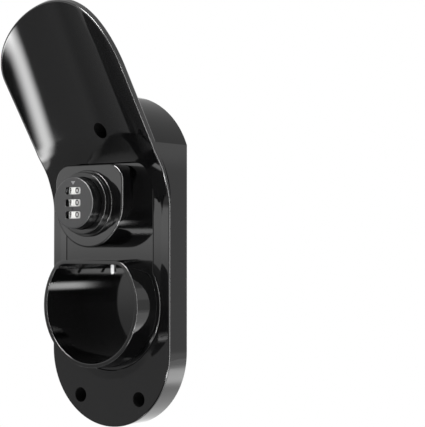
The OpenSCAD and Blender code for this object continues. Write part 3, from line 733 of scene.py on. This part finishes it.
def card_material(name, radiance, fade):
    """Glow that fades out towards the card's edges; fade is the share of half the card that fades."""
    ma = bpy.data.materials.new(name)
    ma.use_nodes = True
    nt = ma.node_tree
    nt.nodes.clear()
    split = nt.nodes.new("ShaderNodeSeparateXYZ")
    nt.links.new(nt.nodes.new("ShaderNodeTexCoord").outputs["UV"], split.inputs[0])
    shares = []
    for axis, part in zip("XY", fade):
        off = math_node(nt, "ABSOLUTE", math_node(nt, "MULTIPLY_ADD", split.outputs[axis], 2.0, -1.0))
        ramp = nt.nodes.new("ShaderNodeMapRange")
        ramp.interpolation_type = "SMOOTHSTEP"
        for socket, value in (("From Min", 1 - part), ("From Max", 1.0), ("To Min", 1.0), ("To Max", 0.0)):
            ramp.inputs[socket].default_value = value
        nt.links.new(off, ramp.inputs["Value"])
        shares.append(ramp.outputs["Result"])
    clear, glow, mix, out = (nt.nodes.new(n) for n in ("ShaderNodeBsdfTransparent", "ShaderNodeEmission",
                                                       "ShaderNodeMixShader", "ShaderNodeOutputMaterial"))
    glow.inputs["Strength"].default_value = radiance
    nt.links.new(math_node(nt, "MULTIPLY", *shares), mix.inputs["Fac"])
    nt.links.new(clear.outputs[0], mix.inputs[1])
    nt.links.new(glow.outputs[0], mix.inputs[2])
    nt.links.new(mix.outputs[0], out.inputs["Surface"])
    return ma


def card(name, azimuths, elevations, radiance, fade=(0.4, 0.4), distance=1.3, target=CARD_TARGET,
         shear=0.0, gloss_only=False, ring=False, steps=16):
    """Curved studio card around the object: a soft light, or a flag where it is darker than the room.
    Shear moves it sideways by degrees per degree of height. A card that is gloss_only shows in reflections
    and adds no light to matt colours. A ring lies round the forward axis: its first angles turn from the
    right upwards, its second ones lead away from that axis."""
    corner = [(u / steps, v / steps) for v in range(steps + 1) for u in range(steps + 1)]
    verts = []
    for u, v in corner:
        rise = (v - 0.5) * (elevations[1] - elevations[0])
        a = math.radians(azimuths[0] + u * (azimuths[1] - azimuths[0]) + shear * rise)
        e = math.radians(sum(elevations) / 2 + rise)
        if ring:
            way = Vector((math.cos(a) * math.sin(e), -math.cos(e), math.sin(a) * math.sin(e)))
        else:
            way = Vector((math.sin(a) * math.cos(e), -math.cos(a) * math.cos(e), math.sin(e)))
        verts.append(target + distance * way)
    row = steps + 1
    faces = [(k, k + 1, k + row + 1, k + row) for j in range(steps) for k in range(j * row, j * row + steps)]
    me = bpy.data.meshes.new(name)
    me.from_pydata(verts, [], faces)
    uv = me.uv_layers.new(name="UVMap")
    for loop in me.loops:
        uv.data[loop.index].uv = corner[loop.vertex_index]
    me.materials.append(card_material(name, radiance, fade))
    ob = bpy.data.objects.new(name, me)
    bpy.context.collection.objects.link(ob)
    ob.visible_camera = ob.visible_shadow = False
    ob.visible_diffuse = not gloss_only


# azimuths from the front towards the right and elevations in degrees, then radiance and fades
card("band_light", (-8.5, 12.5), (-78, -28), 14, (0.95, 0.3), shear=0.55)
card("band_top_light", (5, 20), (-44, -33), 24, (0.6, 0.6), distance=1.25, gloss_only=True)
card("root_light", (-26, 4), (-66, -49), 4, (0.4, 0.5), distance=1.32, gloss_only=True)
card("front_left_light", (-80, -15), (-3, 24), 1.9, (0.3, 0.3))
card("lamp", (-52, -30), (38.2, 46.2), 105, (0.8, 0.6), distance=0.5, target=DOCK_FLOOR_SPOT,
     gloss_only=True, ring=True)
card("edge_ring", (-62, 100), (79, 92), 28, (0.4, 0.5), gloss_only=True, ring=True)
card("corner_light", (50, 112), (55, 70), 90, (0.5, 0.5), distance=1.25, gloss_only=True, ring=True)
card("rear_low_light", (130, 200), (-50, -15), 1.5, (0.3, 0.25), gloss_only=True)
card("rear_low_spot", (136, 166), (-37, -17.5), 4.2, (0.5, 0.8), distance=1.2, gloss_only=True)
card("rear_right_light", (118, 160), (5, 20), 1.0, (0.2, 0.4), gloss_only=True)
card("side_flag", (122, 160), (-9, 6), 0.66, (0.2, 0.2), distance=1.35, gloss_only=True)
card("rear_top_flag", (130, 225), (18, 50), 0.45, (0.2, 0.2), distance=1.35, gloss_only=True)
card("left_flag", (-125, -90), (-34, 2), 0.04, (0.05, 0.3), distance=1.35, gloss_only=True)
card("left_low_flag", (-115, -48), (-78, -12), 0.26, (0.5, 0.1), distance=1.38, gloss_only=True)
card("dock_flag", (-25, 40), (-70, -25), 0.05, (0.2, 0.2), distance=0.1, target=DOCK_FOOT_SPOT,
     gloss_only=True)
card("margin_flag", (12, 45), (-70, -25), 0.06, (0.3, 0.2), distance=1.39, gloss_only=True)
card("deep_flag", (-110, 45), (-78, -12), 0.42, (0.1, 0.1), distance=1.4, gloss_only=True)
card("low_flag", (-110, 45), (-24, -2.5), 0.52, (0.1, 0.3), distance=1.42, gloss_only=True)

bpy.context.scene.view_settings.view_transform = "Standard"
